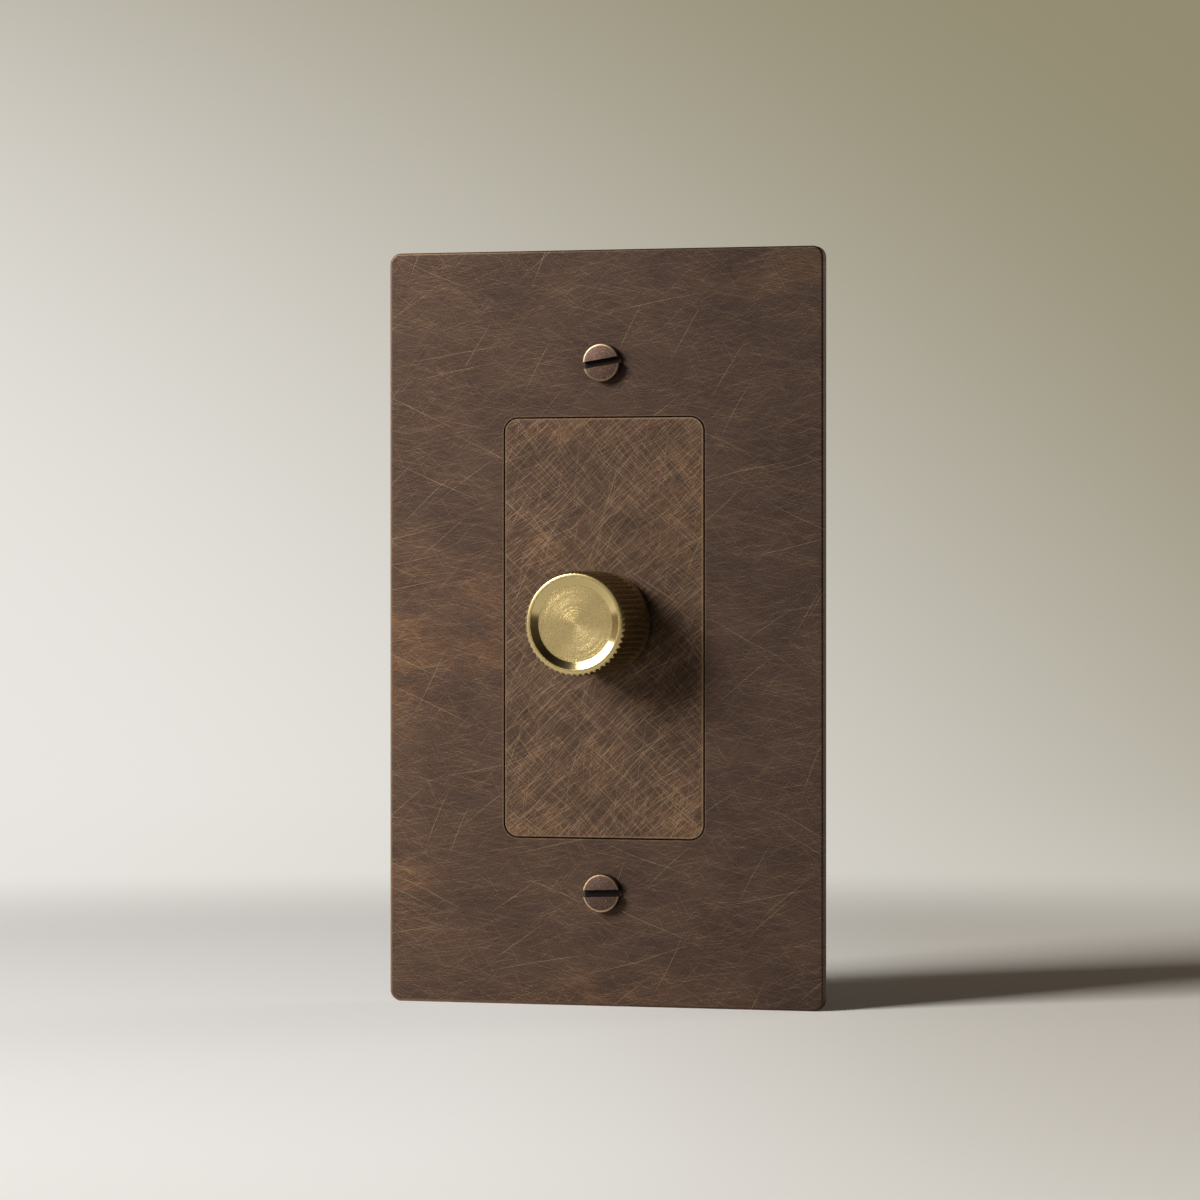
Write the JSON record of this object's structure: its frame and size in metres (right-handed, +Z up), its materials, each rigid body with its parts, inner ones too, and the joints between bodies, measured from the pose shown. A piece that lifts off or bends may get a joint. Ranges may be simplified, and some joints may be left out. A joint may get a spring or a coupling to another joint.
{
  "type": "rotary dimmer switch",
  "caption": "Wall-box rotary dimmer: flat rectangular plate with a flush insert, a knurled brass knob that turns and pushes, and the dimmer module behind.",
  "frame": {"origin": "centre of the wall plate's back face, in the plane of the wall", "axes": "+X right and +Z up as seen from the room, +Y into the wall; the knob turns about an axis along Y and is pushed towards +Y"},
  "size_m": [0.0712, 0.0429, 0.119],
  "materials": {
    "smoked_bronze": "smoked bronze, brushed by hand with fine random scratches and worn edges",
    "turned_brass": "turned brass with a spun face and straight knurling",
    "zinc_plated_steel": "zinc plated",
    "black_moulding": "fine moulded grain",
    "blackened_steel": "blackened",
    "green_screw": "green, as ground screws are",
    "nickel_brass": "nickel plated",
    "shaft_aluminium": "turned",
    "pot_moulding": "moulded",
    "laminate": "phenolic laminate",
    "tinned_metal": "tinned",
    "rotor_moulding": "natural nylon",
    "spring_bronze": "phosphor bronze strip",
    "terminal_brass": "bright brass",
    "spring_steel": "bright spring wire",
    "board_laminate": "green solder mask",
    "heat_sink_aluminium": "mill finish",
    "pad_rubber": "grey silicone",
    "epoxy_black": "moulded epoxy",
    "ferrite_coating": "painted ferrite ring",
    "enamelled_wire": "enamelled copper wire",
    "capacitor_yellow": "moulded box",
    "capacitor_sleeve": "shrink sleeve",
    "fuse_glass": "clear tube",
    "resistor_coating": "lacquered",
    "diode_glass": "blue glass bead"
  },
  "bodies": {
    "root": {"wall_plate": "smoked_bronze", "insert_plate": "smoked_bronze", "plate_screws": "smoked_bronze", "mounting_strap": "zinc_plated_steel", "ground_screw": "green_screw", "bushing_washer": "zinc_plated_steel", "bushing_nut": "zinc_plated_steel", "pot_bushing": "nickel_brass", "pot_case": "pot_moulding", "track_wafer": "laminate", "track_pins": "tinned_metal", "switch_case": "black_moulding", "fixed_contacts": "terminal_brass", "return_spring": "spring_steel", "front_cover": "black_moulding", "rear_housing": "black_moulding", "housing_screws": "zinc_plated_steel", "circuit_board": "board_laminate", "board_screws": "zinc_plated_steel", "heat_sink": "heat_sink_aluminium", "insulating_pad": "pad_rubber", "triac": "epoxy_black", "triac_leads": "tinned_metal", "triac_screw": "zinc_plated_steel", "choke_core": "ferrite_coating", "choke_winding": "enamelled_wire", "film_capacitor": "capacitor_yellow", "electrolytic_capacitor": "capacitor_sleeve", "fuse_tube": "fuse_glass", "fuse_caps": "tinned_metal", "resistors": "resistor_coating", "diac": "diode_glass", "terminal_clamps": "terminal_brass", "terminal_screws": "zinc_plated_steel", "terminal_tails": "terminal_brass"},
    "push": {"switch_plunger": "rotor_moulding", "moving_contact": "spring_bronze"},
    "knob": {"knob": "turned_brass", "knob_set_screw": "blackened_steel", "shaft": "shaft_aluminium", "shaft_clip": "blackened_steel"},
    "wiper": {"wiper_rotor": "rotor_moulding", "wiper_contact": "spring_bronze"}
  },
  "joints": [
    {"name": "knob_push", "type": "slide", "parent": "root", "child": "push", "axis": [0, 1, 0], "range_m": [0, 0.0012], "stiffness_N_per_m": 800, "springref_m": -0.003, "deforming": ["return_spring"]},
    {"name": "knob_turn", "type": "hinge", "parent": "push", "child": "knob", "pos_m": [0, -0.0176, 0.0008], "axis": [0, 1, 0], "range_deg": [-145, 145]},
    {"name": "wiper_turn", "type": "hinge", "parent": "root", "child": "wiper", "pos_m": [0, 0.0031, 0.0008], "axis": [0, 1, 0], "range_deg": [-145, 145]}
  ],
  "couplings": [
    {"joint": "wiper_turn", "follows": "knob_turn", "ratio": 1}
  ]
}
